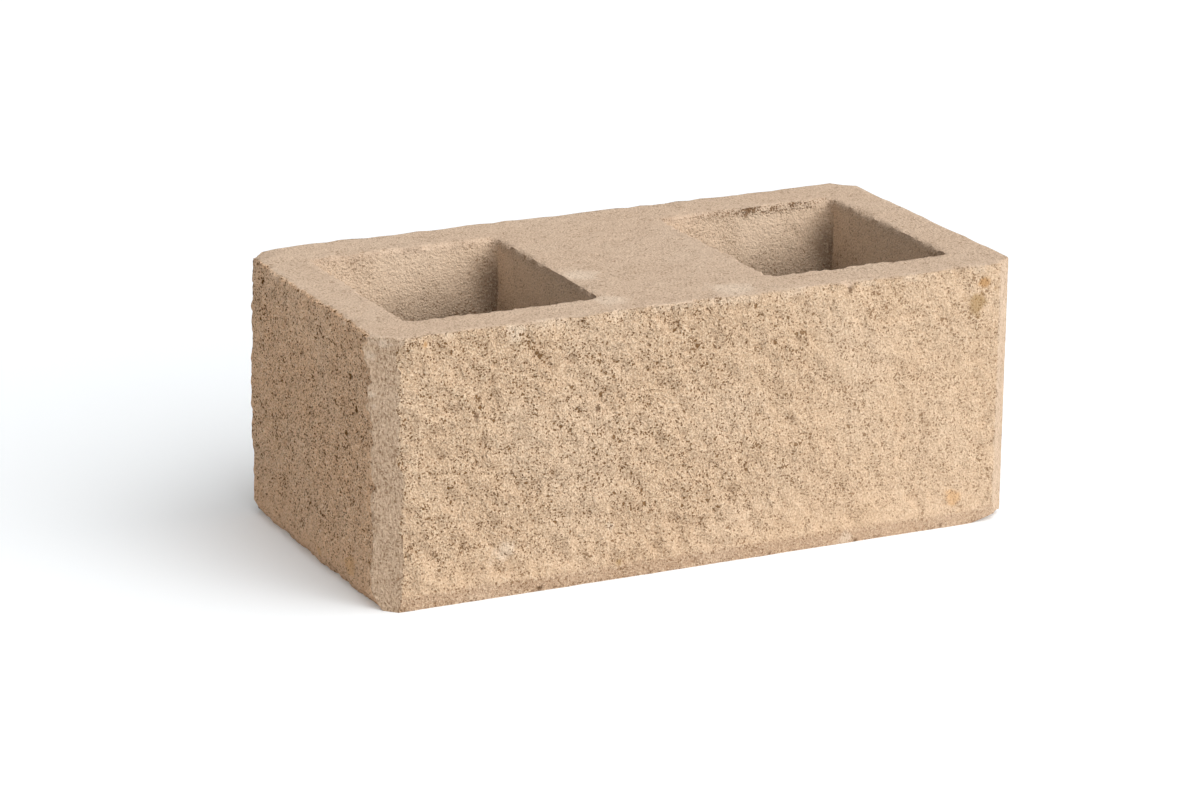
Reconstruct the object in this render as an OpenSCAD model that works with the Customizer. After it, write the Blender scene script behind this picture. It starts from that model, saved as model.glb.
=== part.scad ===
// Hollow concrete block with two cores, cast as one piece.
// The front (-Y) and the left end (-X) are split faces; the back and the right end are moulded.
// Units are millimetres. The origin is the middle of the lower bed, +Z up.

/* [Overall size] */
// Length from the outermost points of the split end to the moulded end
length = 390; // [300:1:450]
// Width from the outermost points of the split front to the moulded back
width = 200; // [150:1:300]
// Height of one course
height = 153; // [90:1:250]

/* [Walls at the upper bed] */
// Face shell at the split front
front_shell = 31; // [24:1:45]
// Face shell at the moulded back
back_shell = 32; // [20:1:45]
// Web at each end
end_web = 28.5; // [24:0.5:45]
// Web between the two cores
centre_web = 105; // [30:1:130]

/* [Cores] */
// Radius of the upright corners inside a core
core_corner_r = 8; // [2:0.5:20]
// How far each core wall leans in from the upper bed to the lower one
core_draft = 2.5; // [0.5:0.5:6]

/* [Upright corners] */
// Leg of the moulded chamfer
corner_chamfer = 12; // [8:0.5:18]

/* [Split faces] */
// Depth between the outermost and the innermost points of a split face
split_relief = 4; // [1:0.5:8]
// Size of the facets on a split face
split_facet = 10; // [8:0.5:20]
// Height of the smooth band at the foot of a split face
band_height = 8; // [4:0.5:20]
// How far the band of the front leans in
front_band_lean = 1.5; // [0.5:0.5:8]
// How far the band of the left end leans in
end_band_lean = 4; // [0.5:0.5:8]

/* [Hidden] */

buff = [0.80, 0.67, 0.51];
cut_margin = 0.5;
slice = 0.01;
corner_sides = 32;

core_length = (length - 2 * end_web - centre_web) / 2;
core_width = width - front_shell - back_shell;
core_x = (centre_web + core_length) / 2;
core_y = (front_shell - back_shell) / 2;
band_inset = split_relief / 2;

// Waves of a split face: length along the face, length up the face, share of the relief
split_waves = [[200, 700, 0.24], [84, -61, 0.14], [47, 38, 0.08]];
// Share of the relief that differs from one facet to the next
facet_share = 0.3;
// Height over which the relief grows above the band
relief_rise = 14;
// Where the waves of each split face start
front_phase = 135;
end_phase = 30;

// Inset of a core wall at a height above the lower bed
function core_inset(z) = core_draft * (1 - z / height);

// Number from 0 to 1 that looks random, fixed for each pair of whole numbers
function scatter(i, j) = let (s = sin(127.1 * i + 311.7 * j) * 43758.5) s - floor(s);

// Waviness of a split face, about 0, at a place along it and up it
function split_wave(along, z, phase) =
    let (parts = [for (w = split_waves) w[2] * sin(360 * (along / w[0] + z / w[1]) + phase)])
    parts * [for (w = split_waves) 1];

// Depth of a split face behind its outermost points: a leaning band at the foot, rough above it
function split_depth(along, z, lean, phase, i, j) =
    let (below = max(0, 1 - z / band_height))
    let (rise = min(1, max(0, (z - band_height) / relief_rise)))
    let (rough = split_wave(along, z, phase) + facet_share * (scatter(i + phase, j) - 0.5))
    band_inset + below * lean + split_relief * rise * max(-0.5, min(0.5, rough));

// What is split off one face: it lies along X, its plane is y = 0 and it reaches into +Y.
// The facets run a little past the block, and an even border closes them outside it.
module split_cut(face_length, lean, phase) {
    deepest = max(split_relief, band_inset + lean);
    span = face_length - 2 * (corner_chamfer - deepest - cut_margin);
    rise = height + cut_margin - band_height;
    columns = round(span / split_facet);
    rows = round(rise / split_facet);
    facet_x = [for (i = [0:columns]) span * (i / columns - 0.5)];
    facet_z = [for (j = [0:rows]) band_height + rise * j / rows];
    x = concat([-span / 2 - cut_margin], facet_x, [span / 2 + cut_margin]);
    z = concat([-cut_margin], facet_z, [height + 2 * cut_margin]);
    right = columns + 2;
    top = rows + 2;
    in_row = right + 1;
    inner = [for (j = [0:top], i = [0:right])
        let (border = i == 0 || i == right || j == top)
        [x[i], border ? band_inset : split_depth(x[i], z[j], lean, phase, i, j), z[j]]];
    outer = [for (j = [0, top], i = [0, right]) [x[i], -cut_margin, z[j]]];
    foot_left = in_row * (top + 1);
    foot_right = foot_left + 1;
    top_left = foot_left + 2;
    top_right = foot_left + 3;
    cells = [for (j = [0:top - 1], i = [0:right - 1]) j * in_row + i];
    lower_facets = [for (k = cells) [k, k + 1, k + in_row + 1]];
    upper_facets = [for (k = cells) [k, k + in_row + 1, k + in_row]];
    foot_edge = [for (i = [right:-1:0]) i];
    right_edge = [for (j = [top:-1:0]) j * in_row + right];
    top_edge = [for (i = [0:right]) top * in_row + i];
    left_edge = [for (j = [0:top]) j * in_row];
    sides = [
        concat([foot_left, foot_right], foot_edge),
        concat([foot_right, top_right], right_edge),
        concat([top_right, top_left], top_edge),
        concat([top_left, foot_left], left_edge),
        [top_left, top_right, foot_right, foot_left],
    ];
    polyhedron(concat(inner, outer), concat(lower_facets, upper_facets, sides));
}

// One level of a core, as a thin plate with round corners
module core_level(z) {
    size = [core_length, core_width] - 2 * (core_inset(z) + core_corner_r) * [1, 1];
    translate([0, core_y, z])
        linear_extrude(slice)
            offset(r = core_corner_r, $fn = corner_sides)
                square(size, center = true);
}

// Core bar with draft on its four walls, running past both beds
module core_bar() {
    hull() {
        core_level(-cut_margin);
        core_level(height + cut_margin);
    }
}

// Plan of the block as it leaves the mould: a rectangle with chamfered corners
module moulded_plan() {
    x = length / 2;
    y = width / 2;
    c = corner_chamfer;
    polygon([
        [-x + c, -y], [x - c, -y], [x, -y + c], [x, y - c],
        [x - c, y], [-x + c, y], [-x, y - c], [-x, -y + c],
    ]);
}

module concrete_block() {
    color(buff)
        difference() {
            linear_extrude(height)
                moulded_plan();
            translate([0, -width / 2, 0])
                split_cut(length, front_band_lean, front_phase);
            translate([-length / 2, 0, 0])
                rotate([0, 0, -90])
                    split_cut(width, end_band_lean, end_phase);
            for (side = [-1, 1])
                translate([side * core_x, 0, 0])
                    core_bar();
        }
}

concrete_block();
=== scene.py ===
import math

import bpy
import numpy as np
from mathutils import Matrix, Vector
from mathutils.geometry import delaunay_2d_cdt


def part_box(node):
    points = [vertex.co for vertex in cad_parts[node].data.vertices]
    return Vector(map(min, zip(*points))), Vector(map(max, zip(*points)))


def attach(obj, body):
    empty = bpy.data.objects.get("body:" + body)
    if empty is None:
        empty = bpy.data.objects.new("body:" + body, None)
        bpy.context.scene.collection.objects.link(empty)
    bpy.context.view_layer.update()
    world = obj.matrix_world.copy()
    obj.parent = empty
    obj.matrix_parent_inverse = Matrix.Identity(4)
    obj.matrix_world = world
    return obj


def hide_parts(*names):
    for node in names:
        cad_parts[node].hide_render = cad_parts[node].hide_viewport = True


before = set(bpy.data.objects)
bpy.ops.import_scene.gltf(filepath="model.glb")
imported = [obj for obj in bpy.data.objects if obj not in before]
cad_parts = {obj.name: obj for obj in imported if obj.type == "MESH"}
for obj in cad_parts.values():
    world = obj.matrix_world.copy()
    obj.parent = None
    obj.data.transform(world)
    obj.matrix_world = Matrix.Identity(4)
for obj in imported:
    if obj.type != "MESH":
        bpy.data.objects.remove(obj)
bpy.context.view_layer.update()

# Sizes of the block in millimetres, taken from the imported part
NODE = "concrete_block"
MM = 0.001
node_low, node_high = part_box(NODE)
LEFT, FRONT, FOOT = (value / MM for value in node_low)
RIGHT, BACK, TOP = (value / MM for value in node_high)

# Walls, cores and corners, as in the part's source
FRONT_SHELL = 31.0
BACK_SHELL = 32.0
END_WEB = 28.5
CENTRE_WEB = 105.0
CORE_DRAFT = 2.5
CHAMFER = 12.0
FRONT_BAND_LEAN = 1.5

# Drawn a little apart from the part's source, as the photo shows them
CORE_CORNER = 5.0
BAND_HEIGHT = 8.5
END_BAND_LEAN = 4.5

# How far the mean planes of the front, the left end and the near strip lie inside the nominal ones
FRONT_SET_BACK = 1.0
END_SET_BACK = 0.0
STRIP_WEAR = 0.7

# Spacing of the mesh
FRONT_STEP = 1.25
END_STEP = 1.5
LEVEL_STEP = 1.25
STRIP_STEP = 1.4
FAR_STRIP_STEP = 2.8
HIDDEN_STEP = 8.0
BED_STEP = 2.1
LOWER_BED_STEP = 9.0
CORE_STEP = 2.4
CORE_DEEP_STEP = 8.0
CORE_FINE_DEPTH = 60.0
CORE_CORNER_STEPS = 6

# Smooth random fields over space, from one seeded lattice
LATTICE = 64
LATTICE_SEED = 7
lattice = np.random.default_rng(LATTICE_SEED).random((LATTICE, LATTICE, LATTICE)) * 2 - 1


def noise(points, size, seed):
    """Smooth noise from -1 to 1 at each point, with features of the given size in millimetres."""
    shift = np.random.default_rng(seed).random(3) * LATTICE
    place = points / size + shift
    cell = np.floor(place).astype(int)
    part = place - cell
    part = part * part * (3 - 2 * part)
    total = np.zeros(len(points))
    for corner in np.ndindex(2, 2, 2):
        at = (cell + corner) % LATTICE
        weight = np.prod(np.where(corner, part, 1 - part), axis=1)
        total += weight * lattice[at[:, 0], at[:, 1], at[:, 2]]
    return total


def layers(points, listed):
    """Sum of layers of noise, each listed with its strength, size and seed."""
    return sum(strength * noise(points, size, seed) for strength, size, seed in listed)


def hollowed(points, depth, least, size, seed):
    """Displacement inwards where noise passes a least value."""
    return -depth * np.clip(noise(points, size, seed) - least, 0, None)


def upright(points, squeeze):
    """Points drawn together along the height, so that noise over them runs upright."""
    return points * [1, 1, squeeze]


def smooth(low, high, value):
    """Eased step from 0 at low to 1 at high."""
    part = np.clip((value - low) / (high - low), 0, 1)
    return part * part * (3 - 2 * part)


def even_steps(start, end, step):
    """Numbers from start to end in even steps of about the given size."""
    count = max(1, round(abs(end - start) / step))
    return np.linspace(start, end, count + 1)


# Outer wall: eight sides in plan, each with its outward normal and the spacing of its columns
def meet(side_a, side_b):
    """Plan point where two sides' planes meet."""
    normals = np.array([side_a["normal"], side_b["normal"]])
    return np.linalg.solve(normals, [side_a["offset"], side_b["offset"]])


def side(name, angle, offset, step, kind):
    """One side of the plan: its normal's angle in degrees and its distance from the middle."""
    turn = math.radians(angle)
    return {
        "name": name,
        "normal": np.array([math.cos(turn), math.sin(turn)]),
        "offset": offset,
        "step": step,
        "kind": kind,
    }


corner_offset = (RIGHT + BACK - CHAMFER) / math.sqrt(2)
sides = [
    side("front", -90, -FRONT - FRONT_SET_BACK, FRONT_STEP, "split"),
    side("front_right", -45, corner_offset, FAR_STRIP_STEP, "moulded"),
    side("right", 0, RIGHT, HIDDEN_STEP, "moulded"),
    side("back_right", 45, corner_offset, HIDDEN_STEP, "moulded"),
    side("back", 90, BACK, HIDDEN_STEP, "moulded"),
    side("back_left", 135, corner_offset, FAR_STRIP_STEP, "moulded"),
    side("left", 180, -LEFT - END_SET_BACK, END_STEP, "split"),
    side("near", 225, corner_offset - STRIP_WEAR, STRIP_STEP, "moulded"),
]
side_number = {here["name"]: index for index, here in enumerate(sides)}
side_is_split = np.array([here["kind"] == "split" for here in sides])

# How far the front bulges at its top edge: places along X, from the near corner to the far one, and bulges
EDGE_PLACES = [-185, -136, -105, -69, -53, -17, 36, 62, 83, 115, 148, 176, 190]
EDGE_BULGES = [0.0, -0.8, 2.2, -0.4, -1.8, -2.0, 0.3, 1.8, 3.6, 3.0, 1.4, -0.8, -1.0]
# The same for the left end: places along Y, from the near corner to the back one
END_PLACES = [-92, -64, -33, 0, 26, 52, 76, 90]
END_BULGES = [2.2, 0.4, -1.2, 0.8, 1.8, 1.0, -1.2, -3.6]
# Share of the bulge that is drawn, and how far down the face it reaches
EDGE_SHARE = 0.6
EDGE_REACH = 40.0

# Relief of the split faces in millimetres, coarse to fine: strength, size, seed
WAVES = [(1.0, 46, 11), (0.9, 21, 12)]
CLUMPS = [(1.15, 9.5, 13), (1.1, 5.2, 14), (0.75, 2.5, 15)]
# Pits and leaning creases: depth, least noise, size, seed
SPLIT_PITS = (2.6, 0.36, 3.0, 16)
CREASES = (1.5, 0.25, 8, 20)
# Lean of the broken bands, and how much longer than wide they are
BAND_SLANT = math.radians(-40)
BAND_LONGER = 3.0
# Smooth band at the foot: its own grain, its ragged top, and the heights over which the relief sets in
BAND_GRAIN = [(0.12, 3, 17), (0.2, 14, 18)]
BAND_RAGGED = [(1.3, 17, 19)]
BAND_FADE = (-1.5, 3.5)
# Share of the relief that the foot band keeps
FRONT_FOOT_ROUGH = 0.12
END_FOOT_ROUGH = 0.7
# Roughness of the left end and of the front, which falls towards the right over a range of X
END_ROUGH = 1.0
FRONT_ROUGH = 1.12
FRONT_ROUGH_FALL = 0.4
FRONT_ROUGH_RANGE = (-60, 150)


def slanted(points):
    """Points turned to the lean of the broken bands and drawn together along it."""
    across = points[:, 0] * math.cos(BAND_SLANT) - points[:, 2] * math.sin(BAND_SLANT)
    along = points[:, 0] * math.sin(BAND_SLANT) + points[:, 2] * math.cos(BAND_SLANT)
    return np.column_stack([across, points[:, 1], along / BAND_LONGER])


def split_relief(points, along, places, bulges, rough, foot_rough):
    """Outward displacement of a split face about its mean plane."""
    height = points[:, 2]
    near_top = np.exp(-((TOP - height) / EDGE_REACH) ** 2)
    bulge = EDGE_SHARE * near_top * np.interp(along, places, bulges)
    broken = layers(points, CLUMPS) + hollowed(points, *SPLIT_PITS) + hollowed(slanted(points), *CREASES)
    relief = bulge + layers(points, WAVES) + rough * broken
    top_of_band = BAND_HEIGHT + layers(points, BAND_RAGGED)
    above = smooth(*BAND_FADE, height - top_of_band)
    above = foot_rough + (1 - foot_rough) * above
    return relief * above + (1 - above) * layers(points, BAND_GRAIN)


# Flakes that stand out of the left end beside the near strip: height, half the length, how far out
STRIP_FLAKES = [(142, 7, 1.4), (119, 9, 1.7), (62, 6, 0.6)]
# Distances from the strip over which they fade, and the share of half the length over which they end
FLAKE_RANGE = (6, 16)
FLAKE_EDGE = (0.7, 1.0)

# Moulded sides: upright drag marks, drawn out by the squeeze, and grain
DRAG_SQUEEZE = 0.08
DRAG_MARKS = [(0.12, 2.2, 21)]
MOULDED_GRAIN = [(0.14, 3.0, 22), (0.15, 30, 23)]


def band_lean(height, lean):
    """How far the smooth band at the foot leans in."""
    return -lean * np.clip(1 - height / BAND_HEIGHT, 0, 1)


def flakes(along_y, height):
    """How far the flakes beside the near strip stand out."""
    near_strip = 1 - smooth(*FLAKE_RANGE, along_y - FRONT - CHAMFER)
    total = np.zeros(len(height))
    for middle, half, out in STRIP_FLAKES:
        within = 1 - smooth(*FLAKE_EDGE, np.abs(height - middle) / half)
        total += out * near_strip * within
    return total


def side_displacement(which, points):
    """Outward displacement of one side of the outer wall at its points."""
    along_x = points[:, 0]
    along_y = points[:, 1]
    height = points[:, 2]
    if which["name"] == "front":
        rough = FRONT_ROUGH - FRONT_ROUGH_FALL * smooth(*FRONT_ROUGH_RANGE, along_x)
        relief = split_relief(points, along_x, EDGE_PLACES, EDGE_BULGES, rough, FRONT_FOOT_ROUGH)
        return relief + band_lean(height, FRONT_BAND_LEAN)
    if which["name"] == "left":
        relief = split_relief(points, along_y, END_PLACES, END_BULGES, END_ROUGH, END_FOOT_ROUGH)
        return relief + flakes(along_y, height) + band_lean(height, END_BAND_LEAN)
    return layers(upright(points, DRAG_SQUEEZE), DRAG_MARKS) + layers(points, MOULDED_GRAIN)


# Worn edges: mean and least radius, strength and size of its waves and crumbs, and how far faces fall back
WEAR_MEAN = 1.4
WEAR_LEAST = 0.2
WEAR_WAVE = (0.9, 14)
WEAR_CRUMB = (1.9, 3.4)
WEAR_FALL = 0.42
# Wear of the moulded edges and of the core rims, as a share of the split edges'
MOULDED_WEAR = 0.5
CORE_WEAR = 1.1
OUTER_WEAR_SEED = 31
CORE_WEAR_SEED = 51


def edge_wear(points, seed):
    """Radius of the worn edge at each point, larger where the edge has crumbled."""
    uneven = layers(points, [(*WEAR_WAVE, seed), (*WEAR_CRUMB, seed + 1)])
    return np.clip(WEAR_MEAN + uneven, WEAR_LEAST, None)


def rounding(distance, radius):
    """How far a face falls back at a distance from its worn edge."""
    return WEAR_FALL * radius * np.clip(1 - distance / radius, 0, 1) ** 2


levels = even_steps(FOOT, TOP, LEVEL_STEP)
columns = []
for index, here in enumerate(sides):
    start = meet(sides[index - 1], here)
    end = meet(here, sides[(index + 1) % len(sides)])
    length = np.linalg.norm(end - start)
    tangent = (end - start) / length
    for distance in even_steps(0, length, here["step"])[:-1]:
        columns.append((index, start + distance * tangent))
column_side = np.array([column[0] for column in columns])
column_plan = np.array([column[1] for column in columns])
corner_columns = [int(np.argmax(column_side == index)) for index in range(len(sides))]

flat_plan = np.tile(column_plan, (len(levels), 1))
wall_flat = np.column_stack([flat_plan, np.repeat(levels, len(columns))])
wall_base = wall_flat.reshape(len(levels), len(columns), 3)
wall_shift = np.zeros_like(wall_base)
wall_depth = np.zeros(wall_base.shape[:2])
wear_share = np.where(side_is_split[column_side], 1.0, MOULDED_WEAR)
wear_top = edge_wear(wall_base[-1], OUTER_WEAR_SEED) * wear_share


def outward(which, points, top_wear):
    """Displacement of one side with its worn upper edge."""
    fall = rounding(TOP - points[:, 2], np.tile(top_wear, len(levels)))
    return side_displacement(which, points) - fall


for index, here in enumerate(sides):
    own = np.flatnonzero(column_side == index)
    plan_points = wall_base[:, own].reshape(-1, 3)
    out = outward(here, plan_points, wear_top[own]).reshape(len(levels), len(own))
    wall_depth[:, own] = out
    wall_shift[:, own, :2] = out[..., None] * here["normal"]

# Each corner column lies where the two displaced sides meet, and its neighbours follow it along
CORNER_REACH = 9.0
for index, here in enumerate(sides):
    before = sides[index - 1]
    column = corner_columns[index]
    points = wall_base[:, column]
    wear = wear_top[[column]]
    pair = np.column_stack([outward(before, points, wear), outward(here, points, wear)])
    normals = np.array([before["normal"], here["normal"]])
    shift = np.linalg.solve(normals, pair.T).T
    for which, side_index in ((before, index - 1), (here, index)):
        tangent = np.array([-which["normal"][1], which["normal"][0]])
        own = np.flatnonzero(column_side == side_index % len(sides))
        distance = np.linalg.norm(column_plan[own] - column_plan[column], axis=1)
        follow = np.clip(1 - distance / CORNER_REACH, 0, 1) ** 2
        slide = (shift @ tangent)[:, None] * follow[None, :]
        wall_shift[:, own, :2] += slide[..., None] * tangent
    wall_shift[:, column, :2] = shift

# Core walls: a rounded rectangle at each level, leaning in towards the foot
core_length = (RIGHT - LEFT - 2 * END_WEB - CENTRE_WEB) / 2
core_width = BACK - FRONT - FRONT_SHELL - BACK_SHELL
core_middles = [
    np.array([direction * (CENTRE_WEB + core_length) / 2, (FRONT_SHELL - BACK_SHELL) / 2])
    for direction in (-1, 1)
]
fine_levels = even_steps(TOP, TOP - CORE_FINE_DEPTH, CORE_STEP)
deep_levels = even_steps(TOP - CORE_FINE_DEPTH, FOOT, CORE_DEEP_STEP)
core_levels = np.concatenate([fine_levels, deep_levels[1:]])

# Relief of the core walls: streaks and pits with their squeeze, and grain
CORE_STREAKS = [(0.1, (0.22, 3.4, 41)), (0.2, (0.12, 1.9, 42))]
CORE_PIT_SQUEEZE = 0.7
CORE_PITS = (1.6, 0.42, 4.8, 43)
CORE_GRAIN = [(0.12, 3.0, 44), (0.4, 22, 45)]


def core_outline():
    """Places and inward-facing normals round a core at the upper bed, about its middle."""
    half = np.array([core_length, core_width]) / 2
    straight = 2 * (half - CORE_CORNER)
    places = []
    normals = []
    for quarter in range(4):
        turn = math.pi / 2 * quarter
        out = np.array([math.cos(turn), math.sin(turn)])
        tangent = np.array([-out[1], out[0]])
        reach = abs(out @ half)
        run = abs(tangent @ straight)
        for step in even_steps(-run / 2, run / 2, CORE_STEP):
            places.append(out * reach + tangent * step)
            normals.append(-out)
        for angle in np.linspace(turn, turn + math.pi / 2, CORE_CORNER_STEPS + 1)[1:-1]:
            spoke = np.array([math.cos(angle), math.sin(angle)])
            middle = out * (reach - CORE_CORNER) + tangent * run / 2
            places.append(middle + spoke * CORE_CORNER)
            normals.append(-spoke)
    return np.array(places), np.array(normals)


def core_displacement(points):
    """Displacement of a core wall into the void: drag streaks, pits and grain."""
    streaks = sum(layers(upright(points, squeeze), [layer]) for squeeze, layer in CORE_STREAKS)
    pits = hollowed(upright(points, CORE_PIT_SQUEEZE), *CORE_PITS)
    return streaks + pits + layers(points, CORE_GRAIN)


core_places, core_normals = core_outline()
core_walls = []
for middle in core_middles:
    inset = CORE_DRAFT * (TOP - core_levels) / (TOP - FOOT)
    plan = middle + core_places[None] + inset[:, None, None] * core_normals[None]
    heights = np.repeat(core_levels, len(core_places)).reshape(len(core_levels), -1, 1)
    base = np.concatenate([plan, heights], axis=2)
    flat = base.reshape(-1, 3)
    wear = edge_wear(base[0], CORE_WEAR_SEED) * CORE_WEAR
    out = core_displacement(flat) - rounding(TOP - flat[:, 2], np.tile(wear, len(core_levels)))
    shift = np.zeros_like(base)
    shift[..., :2] = out.reshape(base.shape[:2])[..., None] * core_normals[None]
    core_walls.append({"base": base, "shift": shift, "wear": wear})

# Beds: triangles between the outer wall's edge and the two core rims
TOP_BED_SEED = 71
LOWER_BED_SEED = 72
# Share of a step by which filling places are scattered, and by which they keep clear of the edges
BED_SCATTER = 0.7
BED_CLEAR = 0.6
# Kind of filling asked for, triangles out to the convex hull
HULL_TRIANGLES = 0
# Gap in millimetres under which places are joined, and the least area of a triangle
JOIN_GAP = 1e-6
LEAST_AREA = 1e-3
# Grain and shallow pits of the upper bed
BED_GRAIN = [(0.16, 4.2, 62), (0.2, 11, 63)]
BED_PITS = (1.6, 0.45, 4.2, 61)
# How far from an edge a bed's points follow it
FOLLOW_REACH = 12.0


def in_core(plan, margin):
    """Whether each plan place lies inside a core grown by a margin."""
    inside = np.zeros(len(plan), bool)
    for middle in core_middles:
        reach = np.array([core_length, core_width]) / 2 - CORE_CORNER
        gap = np.clip(np.abs(plan - middle) - reach, 0, None)
        inside |= np.linalg.norm(gap, axis=1) < CORE_CORNER + margin
    return inside


def inside_block(plan, margin):
    """Whether each plan place lies inside the outer wall by a margin."""
    inside = np.ones(len(plan), bool)
    for here in sides:
        inside &= plan @ here["normal"] < here["offset"] - margin
    return inside


def twice_area(corners):
    """Twice the area of each triangle in plan, below 0 where its corners run clockwise."""
    first = corners[:, 1] - corners[:, 0]
    second = corners[:, 2] - corners[:, 0]
    return first[:, 0] * second[:, 1] - first[:, 1] * second[:, 0]


def bed(outline, rims, step, core_inset, seed):
    """Filling places and triangles of one bed; the outline and the rims come first in the order."""
    random = np.random.default_rng(seed)
    across = np.arange(LEFT, RIGHT, step)
    along = np.arange(FRONT, BACK, step)
    grid = np.stack(np.meshgrid(across, along), axis=-1).reshape(-1, 2)
    grid = grid + (random.random(grid.shape) - 0.5) * BED_SCATTER * step
    clear = BED_CLEAR * step
    grid = grid[inside_block(grid, clear) & ~in_core(grid, clear - core_inset)]
    places = np.concatenate([outline, *rims, grid])
    edges = []
    start = 0
    for loop in (outline, *rims):
        count = len(loop)
        edges += [(start + k, start + (k + 1) % count) for k in range(count)]
        start += count
    given = [Vector(place) for place in places]
    _, _, cells, sources, _, _ = delaunay_2d_cdt(given, edges, [], HULL_TRIANGLES, JOIN_GAP)
    source = np.array([ids[0] for ids in sources])
    triangles = source[np.array([list(cell) for cell in cells])]
    corners = places[triangles]
    area = np.abs(twice_area(corners)) / 2
    kept = (area > LEAST_AREA) & ~in_core(corners.mean(axis=1), -core_inset)
    return grid, triangles[kept]


def nearest(plan, loop):
    """Distance from each place to a loop's points, and the index of the nearest one."""
    gaps = np.linalg.norm(plan[:, None, :] - loop[None, :, :], axis=2)
    index = gaps.argmin(axis=1)
    return gaps[np.arange(len(plan)), index], index


def bed_height(points):
    """Rise and fall of the upper bed: faint grain, a few shallow pits."""
    return layers(points, BED_GRAIN) + hollowed(points, *BED_PITS)


outline_top = wall_base[-1, :, :2]
outline_foot = wall_base[0, :, :2]
rims_top = [wall["base"][0, :, :2] for wall in core_walls]
rims_foot = [wall["base"][-1, :, :2] for wall in core_walls]
top_grid, top_triangles = bed(outline_top, rims_top, BED_STEP, 0.0, TOP_BED_SEED)
foot_grid, foot_triangles = bed(outline_foot, rims_foot, LOWER_BED_STEP, CORE_DRAFT, LOWER_BED_SEED)
top_base = np.column_stack([top_grid, np.full(len(top_grid), TOP)])
foot_base = np.column_stack([foot_grid, np.full(len(foot_grid), FOOT)])

loops = [
    (outline_top, wall_shift[-1, :, :2], wear_top),
    *[(wall["base"][0, :, :2], wall["shift"][0, :, :2], wall["wear"]) for wall in core_walls],
]
top_shift = np.zeros_like(top_base)
top_shift[:, 2] = bed_height(top_base)
for loop, shift, wear in loops:
    distance, index = nearest(top_grid, loop)
    follow = np.clip(1 - distance / FOLLOW_REACH, 0, 1) ** 2
    top_shift[:, :2] += follow[:, None] * shift[index]
    top_shift[:, 2] -= rounding(distance, wear[index])

foot_shift = np.zeros_like(foot_base)
distance, index = nearest(foot_grid, outline_foot)
follow = np.clip(1 - distance / FOLLOW_REACH, 0, 1) ** 2
foot_shift[:, :2] += follow[:, None] * wall_shift[0, index, :2]

wall_shift[-1, :, 2] += bed_height(wall_base[-1]) - rounding(0, wear_top)
for wall in core_walls:
    wall["shift"][0, :, 2] += bed_height(wall["base"][0]) - rounding(0, wall["wear"])

# One mesh from the outer wall, the core walls and the beds
verts = [wall_flat + wall_shift.reshape(-1, 3)]
core_starts = []
for wall in core_walls:
    core_starts.append(sum(len(part) for part in verts))
    verts.append((wall["base"] + wall["shift"]).reshape(-1, 3))
top_start = sum(len(part) for part in verts)
verts.append(top_base + top_shift)
foot_start = top_start + len(top_grid)
verts.append(foot_base + foot_shift)
points = np.concatenate(verts)

# Chips: middle in plan, reach, and how far the foot is lifted or the upper bed is worn down
CHIPS = [
    (192, -100, 24, 5.0, 0.0),
    (-192, 94, 10, 2.0, 0.0),
    (-194, 99, 24, 0.0, 3.2),
    (86, -99, 5, 0.0, 2.6),
]
CHIP_HEIGHT = 36.0
for across, along, reach, lift, drop in CHIPS:
    gap = np.linalg.norm(points[:, :2] - [across, along], axis=1)
    amount = 1 - smooth(0, 1, gap / reach)
    low_part = np.clip(1 - points[:, 2] / CHIP_HEIGHT, 0, 1)
    high_part = np.clip(1 - (TOP - points[:, 2]) / CHIP_HEIGHT, 0, 1)
    points[:, 2] += amount * (lift * low_part - drop * high_part)


def band(rows, count, start):
    """Two triangles a cell for rows of a closed loop of columns."""
    row, column = np.meshgrid(np.arange(rows - 1), np.arange(count), indexing="ij")
    here = start + row * count + column
    beside = start + row * count + (column + 1) % count
    above = here + count
    beside_above = beside + count
    return np.concatenate([
        np.stack([here, beside, beside_above], axis=-1).reshape(-1, 3),
        np.stack([here, beside_above, above], axis=-1).reshape(-1, 3),
    ])


def bed_faces(triangles, loop_starts, loop_sizes, grid_start, up):
    """A bed's triangles in the whole mesh's numbers, all facing the same way."""
    numbers = np.concatenate([start + np.arange(size) for start, size in zip(loop_starts, loop_sizes)])
    numbers = np.concatenate([numbers, grid_start + np.arange(triangles.max() + 1 - len(numbers))])
    faces = numbers[triangles]
    wrong = (twice_area(points[faces][..., :2]) < 0) == up
    faces[wrong] = faces[wrong][:, ::-1]
    return faces


loop_sizes = [len(columns), len(core_places), len(core_places)]
top_starts = [(len(levels) - 1) * len(columns), *core_starts]
last_row = (len(core_levels) - 1) * len(core_places)
foot_starts = [0, *[start + last_row for start in core_starts]]
faces = np.concatenate([
    band(len(levels), len(columns), 0),
    *[band(len(core_levels), len(core_places), start) for start in core_starts],
    bed_faces(top_triangles, top_starts, loop_sizes, top_start, True),
    bed_faces(foot_triangles, foot_starts, loop_sizes, foot_start, False),
])

SHARP_ANGLE = math.radians(40)
mesh = bpy.data.meshes.new("cast_block")
mesh.from_pydata((points * MM).tolist(), [], faces.tolist())
mesh.validate()
mesh.update()
block = bpy.data.objects.new("cast_block", mesh)
bpy.context.scene.collection.objects.link(block)
mesh.shade_smooth()
mesh.set_sharp_from_angle(angle=SHARP_ANGLE)

# What the material reads at each point: grit, drag marks, hollows, the marks of stains and wear, painted
# highlights, and painted light and shade on the cores and the left end
# Reach of a dip in mesh steps and its depth, the full middle of a spot, and a gap past every reach
HOLLOW_REACH = 4
HOLLOW_DEPTH = 1.1
SPOT_CORE = 0.45
FAR_AWAY = 99.0
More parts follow.
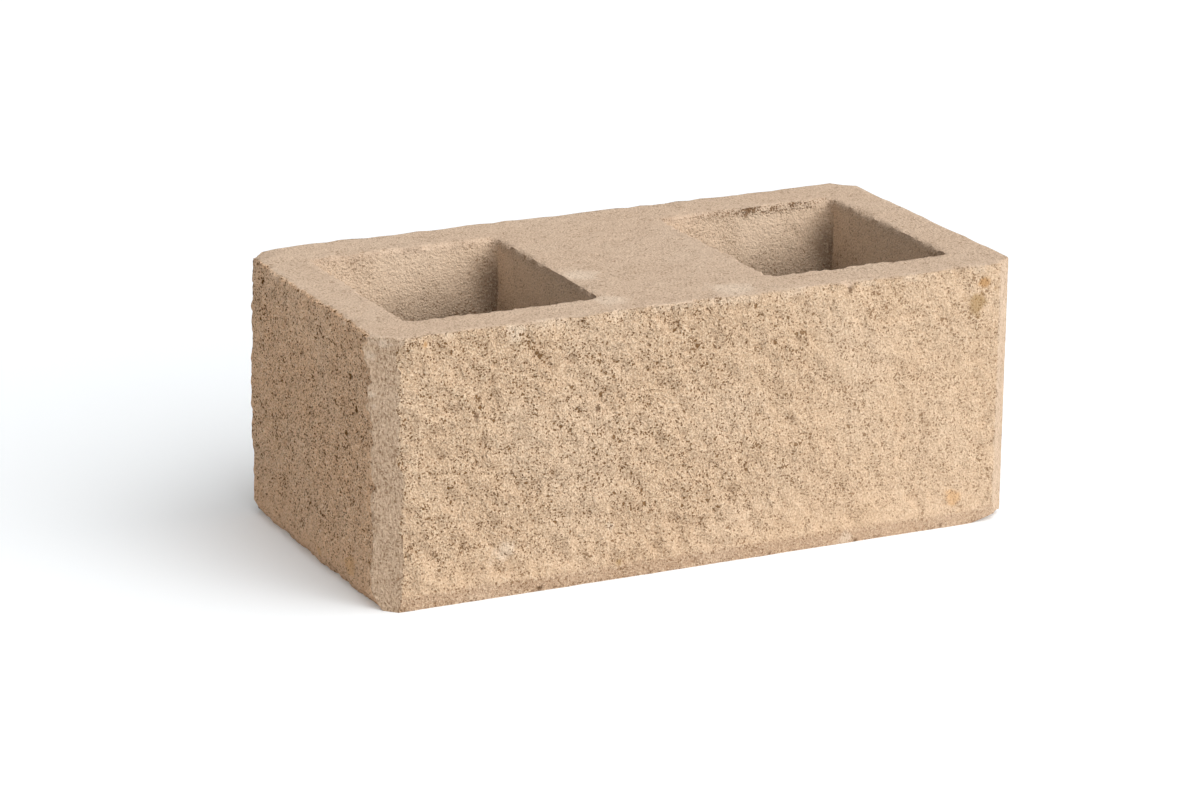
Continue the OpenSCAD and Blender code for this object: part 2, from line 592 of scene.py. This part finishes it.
# Grit of each part, the split faces' from their foot up, and what the left end and the right half change
SPLIT_GRIT_LOW = 0.74
SPLIT_GRIT_RISE = 0.26
CALM_HEIGHT = 42.0
LEFT_GRIT_MORE = 0.15
RIGHT_GRIT_LESS = 0.3
RIGHT_GRIT_RANGE = (-40, 150)
NEAR_GRIT = 0.62
MOULDED_GRIT = 0.52
CORE_GRIT = 0.45
CORE_GRIT_DEEP = 0.3
CORE_GRIT_RIM = 0.4
TOP_GRIT = 0.45
FOOT_GRIT = 0.6
# Half the height over which the darker colour at the foot band ends
BAND_BLUR = 2.0
# Depths over which the cores take a lighter colour that is painted light, darken with painted shade, and
# darken with a painted shadow in the back right corners, and how far along the back wall that shadow
# reaches
PAINTED_CORE_LIGHT_DEPTHS = (1, 7)
PAINTED_SHADE_DEPTHS = (14, 70)
PAINTED_CORNER_SHADOW_DEPTHS = (2, 30)
PAINTED_CORNER_SHADOW_REACH = 26.0
# Crumbled rim at the back of the right core
RIM_REACH = 4.0
RIM_DEPTH = 7.0
RIM_PATCH = (16, 84)
RIM_PATCH_RANGE = (-0.5, 0.3)
RIM_HOLLOW = 2.0
# Painted highlights in patches along the upper edges and on the front right strip
EDGE_PAINTED_HIGHLIGHT = 0.5
EDGE_PAINTED_HIGHLIGHT_REACH = 5.0
EDGE_PAINTED_HIGHLIGHT_PATCH = (9, 83)
EDGE_PAINTED_HIGHLIGHT_RANGE = (-0.1, 0.5)
STRIP_PAINTED_HIGHLIGHT = 0.4

# Marks seen in the photo: what each is, its two coordinates on the face, its radius
FRONT_MARKS = [
    ("rust", 173, 143, 4.0), ("rust", -169, 148.5, 2.6), ("straw", 157, 17.8, 6.0),
    ("olive", 168.6, 131.7, 8.0), ("olive", -54, 10, 2.6),
    ("pale", -123.5, 25.9, 7.0), ("pale", -116.5, 150, 7.0), ("pale", -60, 32, 3.0), ("pale", 88, 4, 5.0),
    ("dark", -140, 105.6, 2.6), ("dark", -67, 100.6, 2.2), ("dark", 86, 149, 2.2), ("dark", -101, 1.9, 2.2),
    ("dark", 94.6, 0.8, 1.8), ("dark", 40, 1.0, 1.5), ("dark", 150, 2.0, 1.5),
]
# Painted highlights on the flakes that stand out beside the near strip
NEAR_PAINTED_HIGHLIGHTS = [
    ("pale", -195, 142, 2.0), ("pale", -195, 121, 2.2), ("pale", -194, 115, 1.4), ("pale", -190, 150, 2.5),
]
LEFT_MARKS = [
    ("straw", -53, 14.8, 6.0), ("straw", -12, 9, 5.0), ("dark", 7.5, 20, 2.2), ("pale", -16, 22.7, 1.8),
]
TOP_MARKS = [("pale", -43, -24, 13.0), ("pale", -50, -76, 11.0), ("pale", 20, -84, 16.0)]
MARK_RAGGED = [(0.5, 4.0, 81), (0.3, 1.8, 82)]


def spot(gap, radius):
    """Strength of a mark from 1 at its middle to 0 past its radius."""
    return 1 - smooth(SPOT_CORE, 1.0, gap / radius)


def hollows():
    """How far each point of the outer wall lies in a dip of its surroundings."""
    reach = range(-HOLLOW_REACH, HOLLOW_REACH + 1)
    padded = np.pad(wall_depth, ((HOLLOW_REACH, HOLLOW_REACH), (0, 0)), mode="edge")
    rows = sum(np.roll(padded, step, axis=0) for step in reach)[HOLLOW_REACH:-HOLLOW_REACH]
    around = sum(np.roll(rows, step, axis=1) for step in reach) / len(reach) ** 2
    return np.clip((around - wall_depth) / HOLLOW_DEPTH, 0, 1).reshape(-1)


counts = [len(wall_flat), 2 * len(core_levels) * len(core_places), len(top_grid), len(foot_grid)]


def per_point(wall, core, top, foot):
    """One value for every point of the mesh, from a value or values for each of its four parts."""
    parts = zip((wall, core, top, foot), counts)
    return np.concatenate([np.broadcast_to(part, count) for part, count in parts]).astype(float)


wall_side = np.tile(column_side, len(levels))
wall_split = side_is_split[wall_side]
wall_front = wall_side == side_number["front"]
wall_left = wall_side == side_number["left"]
wall_near = wall_side == side_number["near"]
wall_front_right = wall_side == side_number["front_right"]
wall_height = wall_flat[:, 2]
above_band = smooth(BAND_HEIGHT - BAND_BLUR, BAND_HEIGHT + BAND_BLUR, wall_height)
above_calm = smooth(BAND_HEIGHT, CALM_HEIGHT, wall_height)
core_points = per_point(0, 1, 0, 0) > 0
depth = TOP - points[:, 2]

marks = {name: np.zeros(len(points)) for name in ("rust", "straw", "olive", "pale", "dark")}
ragged = 1 + layers(points, MARK_RAGGED)
for part, axes, listed in (
    (per_point(wall_front, 0, 0, 0), (0, 2), FRONT_MARKS),
    (per_point(wall_left, 0, 0, 0), (1, 2), LEFT_MARKS),
    (per_point(wall_near, 0, 0, 0), (0, 2), NEAR_PAINTED_HIGHLIGHTS),
    (per_point(0, 0, 1, 0), (0, 1), TOP_MARKS),
):
    own = np.flatnonzero(part)
    for name, across, up, radius in listed:
        gap = np.linalg.norm(points[own][:, axes] - [across, up], axis=1) * ragged[own]
        marks[name][own] = np.maximum(marks[name][own], spot(gap, radius))

# Painted highlights: paler in patches along the upper edges, and on the front right strip
top_edge_gap = nearest(top_grid, outline_top)[0]
edge_gap = per_point(TOP - wall_height, FAR_AWAY, top_edge_gap, FAR_AWAY)
edge_patch = smooth(*EDGE_PAINTED_HIGHLIGHT_RANGE, noise(points, *EDGE_PAINTED_HIGHLIGHT_PATCH))
edge_painted_highlight = EDGE_PAINTED_HIGHLIGHT * spot(edge_gap, EDGE_PAINTED_HIGHLIGHT_REACH) * edge_patch
strip_painted_highlight = per_point(STRIP_PAINTED_HIGHLIGHT * wall_front_right, 0, 0, 0)
marks["pale"] = np.maximum(np.maximum(marks["pale"], edge_painted_highlight), strip_painted_highlight)

back_wall = core_points * (points[:, 1] > BACK - BACK_SHELL - RIM_REACH)
rim_patch = smooth(*RIM_PATCH_RANGE, noise(points, *RIM_PATCH))
crumbled = back_wall * spot(depth, RIM_DEPTH) * (points[:, 0] > 0) * rim_patch
# Painted shade: the core walls darken further down, and a painted shadow darkens the back walls towards
# their right corners
deep = core_points * smooth(*PAINTED_SHADE_DEPTHS, depth)
right_gap = np.where(points[:, 0] < 0, -CENTRE_WEB / 2, RIGHT - END_WEB) - points[:, 0]
painted_corner_shadow = back_wall * (1 - smooth(0, PAINTED_CORNER_SHADOW_REACH, right_gap)) * smooth(*PAINTED_CORNER_SHADOW_DEPTHS, depth)

finer_right = 1 - RIGHT_GRIT_LESS * smooth(*RIGHT_GRIT_RANGE, wall_flat[:, 0]) * wall_front
rising_grit = SPLIT_GRIT_LOW + SPLIT_GRIT_RISE * above_calm
split_grit = rising_grit * finer_right * (1 + LEFT_GRIT_MORE * wall_left)
wall_grit = np.where(wall_split, split_grit, np.where(wall_near, NEAR_GRIT, MOULDED_GRIT))
core_grit = (CORE_GRIT + CORE_GRIT_DEEP * deep + CORE_GRIT_RIM * crumbled)[core_points]
values = {
    "grit": per_point(wall_grit, core_grit, TOP_GRIT, FOOT_GRIT),
    "drag": per_point(~wall_split, 0, 0, 0),
    "grey": per_point(~wall_split, 1, 1, 1),
    # Painted light: the shaded left end takes a lighter, warmer colour
    "warm": per_point(wall_left, 0, 0, 0),
    # Painted light: the core walls below the rim take a lighter colour
    "inside": core_points * smooth(*PAINTED_CORE_LIGHT_DEPTHS, depth),
    # Painted shade in the cores, darker further down and towards the back right corners
    "deep": np.maximum(deep, painted_corner_shadow),
    "foot_band": per_point(wall_front * (1 - above_band), 0, 0, 0),
    # Dark pits crowd into the dips of the split faces, partly pits and partly painted shade, and into the
    # crumbled rim
    "hollow": per_point(hollows() * wall_split, 0, 0, 0) + RIM_HOLLOW * crumbled,
    **marks,
}
for name, value in values.items():
    layer = mesh.attributes.new(name, "FLOAT", "POINT")
    layer.data.foreach_set("value", value.astype(np.float32))

# Concrete: sand grains and pits of several sizes, drag marks where it left the mould, and the marks,
# painted highlights and painted light and shade above
SAND = (0.605, 0.43, 0.286, 1)
SAND_GREY = (0.62, 0.46, 0.335, 1)
STRIP_SAND = (0.63, 0.453, 0.314, 1)
BRIGHT_GRAIN = (0.80, 0.63, 0.45, 1)
# Lighter colour of the core walls, painted light
CORE_PAINTED_LIGHT_SAND = (0.77, 0.585, 0.425, 1)
# Dark colour laid deep in the cores and in their back right corners: painted shade
CORE_PAINTED_SHADE = (0.20, 0.135, 0.088, 1)
PIT = (0.165, 0.075, 0.018, 1)
# Darker colour along the front's foot band
FOOT_BAND_DARKER = (0.47, 0.322, 0.214, 1)
# Lighter, warmer colour of the shaded left end, painted light
LEFT_END_PAINTED_LIGHT = (0.80, 0.498, 0.299, 1)
RUST = (0.47, 0.25, 0.09, 1)
STRAW = (0.68, 0.39, 0.17, 1)
OLIVE = (0.31, 0.185, 0.06, 1)
# Pale colour of chalky marks and of the painted highlights
CHALK_AND_PAINTED_HIGHLIGHT = (0.80, 0.66, 0.52, 1)
VOID = (0.12, 0.06, 0.025, 1)

# Colours laid over the sand where a value is stored on the mesh, and how strongly; among them painted light
# on the cores and the left end, and painted shade deep in the cores
FACE_COATS = [
    ("grey", 1.0, SAND_GREY),
    ("drag", 0.9, STRIP_SAND),
    # Painted light on the shaded left end
    ("warm", 0.8, LEFT_END_PAINTED_LIGHT),
    ("foot_band", 0.85, FOOT_BAND_DARKER),
    # Painted light on the core walls below the rim
    ("inside", 1.0, CORE_PAINTED_LIGHT_SAND),
    # Painted shade deep in the cores and in their back right corners
    ("deep", 0.88, CORE_PAINTED_SHADE),
]
# The pale coat carries chalky marks and painted highlights
STAIN_AND_PAINTED_HIGHLIGHT_COATS = [("pale", 0.4, CHALK_AND_PAINTED_HIGHLIGHT), ("rust", 0.75, RUST), ("straw", 0.5, STRAW), ("olive", 0.65, OLIVE)]
DARK_COAT = ("dark", 0.85, VOID)

# Sizes of the textures in millimetres, how many finer layers each has, and the middle of their values
FINE_SIZE = 1.2
FINE_DETAIL = 1
COARSE_SIZE = 2.6
COARSE_DETAIL = 2
PATCH_SIZE = 9
PATCH_DETAIL = 3
BROAD_SIZE = 55
BROAD_DETAIL = 2
STREAK_SIZE = 0.8
STREAK_LONGER = 3
STREAK_DETAIL = 2
SMALL_PIT_SIZE = 1.2
LARGE_PIT_SIZE = 3.2
TEXTURE_ROUGHNESS = 0.6
TEXTURE_MIDDLE = 0.5

# Pits: the least draw that gives a cell one, how they grow, their ragged edges, and where they crowd
SMALL_PIT_LEAST = 0.36
SMALL_PIT_GROWTH = 0.9
LARGE_PIT_LEAST = 0.58
LARGE_PIT_GROWTH = 0.8
PIT_RAGGED = 0.6
PIT_EDGE = 0.06
PIT_COVER = 0.85
PATCH_CROWD = 0.8
# How much the dips crowd the pits: partly pits, partly painted shade
DIP_PAINTED_SHADE_CROWD = 0.11

# Values of each texture between which it shows, and how strongly
PATCH_RANGE = (0.45, 0.7)
PATCH_COVER = 0.07
BROAD_RANGE = (0.4, 0.7)
BROAD_COVER = 0.12
SHADE_RANGE = (0.36, 0.56)
SHADE_COVER = 0.3
GRAIN_RANGE = (0.55, 0.66)
GRAIN_COVER = 0.5
DRAG_RANGE = (0.3, 0.55)
DRAG_COVER = 0.5

# Bump: shares of the textures in its height, its depth, and its strength without grit and with it
FINE_SHARE = 0.55
COARSE_SHARE = 0.45
PIT_SHARE = 0.2
DRAG_SHARE = 0.12
BUMP_DEPTH = 3.2 * MM
BUMP_LEAST = 0.1
BUMP_GRIT = 0.9
CONCRETE_ROUGHNESS = 0.93
CONCRETE_SPECULAR = 0.2

# Sockets of the Mix node for colours: its factor, its two colours and its result
MIX_FACTOR = 0
MIX_UNDER = 6
MIX_OVER = 7
MIX_RESULT = 2

concrete = bpy.data.materials.new("buff_concrete")
concrete.use_nodes = True
tree = concrete.node_tree
shader = tree.nodes["Principled BSDF"]


def make(kind, inputs, **settings):
    """A node of the material with its settings and its inputs, which are values or other nodes' outputs."""
    made = tree.nodes.new(kind)
    for name, value in settings.items():
        setattr(made, name, value)
    for name, value in inputs.items():
        if isinstance(value, bpy.types.NodeSocket):
            tree.links.new(value, made.inputs[name])
        else:
            made.inputs[name].default_value = value
    return made


coordinates = make("ShaderNodeTexCoord", {}).outputs["Object"]


def attribute(name):
    """A value stored on the mesh."""
    return make("ShaderNodeAttribute", {}, attribute_name=name).outputs["Fac"]


def number(operation, first, second):
    """Arithmetic on two values."""
    return make("ShaderNodeMath", {0: first, 1: second}, operation=operation).outputs["Value"]


def times(first, second):
    """Product of two values."""
    return number("MULTIPLY", first, second)


def opposite(value):
    """One less a value."""
    return number("SUBTRACT", 1.0, value)


def between(value, low, high):
    """Eased step of a value from 0 at low to 1 at high."""
    limits = {"Value": value, "From Min": low, "From Max": high}
    return make("ShaderNodeMapRange", limits, interpolation_type="SMOOTHSTEP").outputs["Result"]


def paint(amount, under, over):
    """One colour laid over another."""
    inputs = {MIX_FACTOR: amount, MIX_UNDER: under, MIX_OVER: over}
    return make("ShaderNodeMix", inputs, data_type="RGBA").outputs[MIX_RESULT]


def placed(size, longer=(1, 1, 1), slant=0.0):
    """Coordinates in steps of a size in millimetres, drawn out and turned about Y where asked."""
    scale = [size * MM * factor for factor in longer]
    inputs = {"Vector": coordinates, "Rotation": (0, slant, 0), "Scale": scale}
    return make("ShaderNodeMapping", inputs, vector_type="TEXTURE").outputs["Vector"]


def texture(place, detail):
    """Noise over some coordinates."""
    inputs = {"Vector": place, "Scale": 1, "Detail": detail, "Roughness": TEXTURE_ROUGHNESS}
    return make("ShaderNodeTexNoise", inputs).outputs["Fac"]


def specks(place, least, growth, ragged_edge, crowded):
    """Ragged dots scattered over some coordinates, of many sizes, and larger where they crowd."""
    cells = make("ShaderNodeTexVoronoi", {"Vector": place, "Scale": 1}).outputs
    drawn = times(number("SUBTRACT", cells["Color"], least), growth)
    edge = number("ADD", cells["Distance"], ragged_edge)
    beyond = number("SUBTRACT", edge, number("ADD", drawn, crowded))
    return opposite(between(beyond, -PIT_EDGE, PIT_EDGE))


grit = attribute("grit")
fine = texture(placed(FINE_SIZE), FINE_DETAIL)
coarse = texture(placed(COARSE_SIZE), COARSE_DETAIL)
patch = texture(placed(PATCH_SIZE, (1, 1, BAND_LONGER), BAND_SLANT), PATCH_DETAIL)
broad = texture(placed(BROAD_SIZE), BROAD_DETAIL)
streak = texture(placed(STREAK_SIZE, (1, 1, STREAK_LONGER)), STREAK_DETAIL)
pit_edge = times(number("SUBTRACT", fine, TEXTURE_MIDDLE), PIT_RAGGED)
patch_crowd = times(number("SUBTRACT", patch, TEXTURE_MIDDLE), PATCH_CROWD)
# More dark pits in the dips: partly pits, partly painted shade
crowd = number("ADD", patch_crowd, times(attribute("hollow"), DIP_PAINTED_SHADE_CROWD))
small_pits = specks(placed(SMALL_PIT_SIZE), SMALL_PIT_LEAST, SMALL_PIT_GROWTH, pit_edge, crowd)
large_pits = specks(placed(LARGE_PIT_SIZE), LARGE_PIT_LEAST, LARGE_PIT_GROWTH, pit_edge, crowd)
pits = times(number("MAXIMUM", small_pits, large_pits), PIT_COVER)
sand_shade = opposite(between(fine, *SHADE_RANGE))
grains = between(fine, *GRAIN_RANGE)
dragged = times(attribute("drag"), opposite(between(streak, *DRAG_RANGE)))

colour = SAND
for name, strength, over in FACE_COATS:
    colour = paint(times(attribute(name), strength), colour, over)
colour = paint(times(between(patch, *PATCH_RANGE), PATCH_COVER), colour, PIT)
colour = paint(times(between(broad, *BROAD_RANGE), BROAD_COVER), colour, CHALK_AND_PAINTED_HIGHLIGHT)
colour = paint(times(sand_shade, times(grit, SHADE_COVER)), colour, PIT)
colour = paint(times(grains, times(grit, GRAIN_COVER)), colour, BRIGHT_GRAIN)
colour = paint(times(dragged, DRAG_COVER), colour, PIT)
for name, strength, over in STAIN_AND_PAINTED_HIGHLIGHT_COATS:
    colour = paint(times(attribute(name), strength), colour, over)
colour = paint(times(pits, grit), colour, PIT)
dark_name, dark_strength, dark_colour = DARK_COAT
colour = paint(times(attribute(dark_name), dark_strength), colour, dark_colour)

mixed = number("ADD", times(fine, FINE_SHARE), times(coarse, COARSE_SHARE))
pitted = number("SUBTRACT", mixed, times(pits, PIT_SHARE))
bump_inputs = {
    "Height": number("SUBTRACT", pitted, times(dragged, DRAG_SHARE)),
    "Strength": number("ADD", times(grit, BUMP_GRIT), BUMP_LEAST),
    "Distance": BUMP_DEPTH,
}
bump = make("ShaderNodeBump", bump_inputs).outputs["Normal"]
tree.links.new(colour, shader.inputs["Base Color"])
tree.links.new(bump, shader.inputs["Normal"])
shader.inputs["Roughness"].default_value = CONCRETE_ROUGHNESS
shader.inputs["Specular IOR Level"].default_value = CONCRETE_SPECULAR
mesh.materials.append(concrete)

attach(block, "root")
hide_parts(NODE)

# Floor of white paper that glows a little, as an overexposed sweep does
FLOOR_HALF = 6.0
FLOOR_WHITE = (0.875, 0.9, 0.918, 1)
FLOOR_GLOW = 0.11
FLOOR_ROUGHNESS = 0.9
FLOOR_SPECULAR = 0.0
WHITE = (1, 1, 1, 1)
floor_mesh = bpy.data.meshes.new("floor")
floor_corners = [(x * FLOOR_HALF, y * FLOOR_HALF, 0) for x, y in ((-1, -1), (1, -1), (1, 1), (-1, 1))]
floor_mesh.from_pydata(floor_corners, [], [(0, 1, 2, 3)])
floor = bpy.data.objects.new("floor", floor_mesh)
bpy.context.scene.collection.objects.link(floor)
paper = bpy.data.materials.new("white_paper")
paper.use_nodes = True
paper_shader = paper.node_tree.nodes["Principled BSDF"]
paper_shader.inputs["Base Color"].default_value = FLOOR_WHITE
paper_shader.inputs["Roughness"].default_value = FLOOR_ROUGHNESS
paper_shader.inputs["Specular IOR Level"].default_value = FLOOR_SPECULAR
paper_shader.inputs["Emission Color"].default_value = WHITE
paper_shader.inputs["Emission Strength"].default_value = FLOOR_GLOW
floor_mesh.materials.append(paper)

# Soft light: white surroundings, a broad key from the right front, a fill beside it and a soft top light
SKY_STRENGTH = 0.27
KEY_STRENGTH = 2.8
KEY_FROM = Vector((0.47, -0.78, 0.92))
KEY_SPREAD = math.radians(75)
OVERHEAD_STRENGTH = 0.45
OVERHEAD_FROM = Vector((0.0, 0.0, 1.0))
OVERHEAD_SPREAD = math.radians(80)
FILL_POWER = 11.0
FILL_PLACE = Vector((1.0, -2.0, 0.7))
FILL_SIZE = 1.4
world = bpy.data.worlds.new("studio")
world.use_nodes = True
world.node_tree.nodes["Background"].inputs["Color"].default_value = WHITE
world.node_tree.nodes["Background"].inputs["Strength"].default_value = SKY_STRENGTH
bpy.context.scene.world = world


def add_light(name, kind, place, strength):
    """A light at a place, turned to the block."""
    data = bpy.data.lights.new(name, kind)
    data.energy = strength
    lamp = bpy.data.objects.new(name, data)
    lamp.location = place
    lamp.rotation_mode = "QUATERNION"
    lamp.rotation_quaternion = (-place).to_track_quat("-Z", "Y")
    bpy.context.scene.collection.objects.link(lamp)
    return data


key = add_light("key", "SUN", KEY_FROM, KEY_STRENGTH)
key.angle = KEY_SPREAD
overhead = add_light("overhead", "SUN", OVERHEAD_FROM, OVERHEAD_STRENGTH)
overhead.angle = OVERHEAD_SPREAD
fill = add_light("fill", "AREA", FILL_PLACE, FILL_POWER)
fill.shape = "DISK"
fill.size = FILL_SIZE

# Camera where the photograph was taken from
CAMERA_PLACE = Vector((-1.01829, -2.05557, 0.78148))
CAMERA_AIM = Vector((-0.01539, 0.00572, 0.06853))
CAMERA_ROLL = math.radians(0.412)
CAMERA_LENS = 126.57
CAMERA_SENSOR = 36
camera_data = bpy.data.cameras.new("camera")
camera_data.sensor_width = CAMERA_SENSOR
camera_data.lens = CAMERA_LENS
camera = bpy.data.objects.new("camera", camera_data)
forward = (CAMERA_AIM - CAMERA_PLACE).normalized()
camera.rotation_mode = "QUATERNION"
level_turn = forward.to_track_quat("-Z", "Y")
camera.rotation_quaternion = level_turn @ Matrix.Rotation(CAMERA_ROLL, 3, "Z").to_quaternion()
camera.location = CAMERA_PLACE
bpy.context.scene.collection.objects.link(camera)
bpy.context.scene.camera = camera
bpy.context.scene.view_settings.view_transform = "Standard"
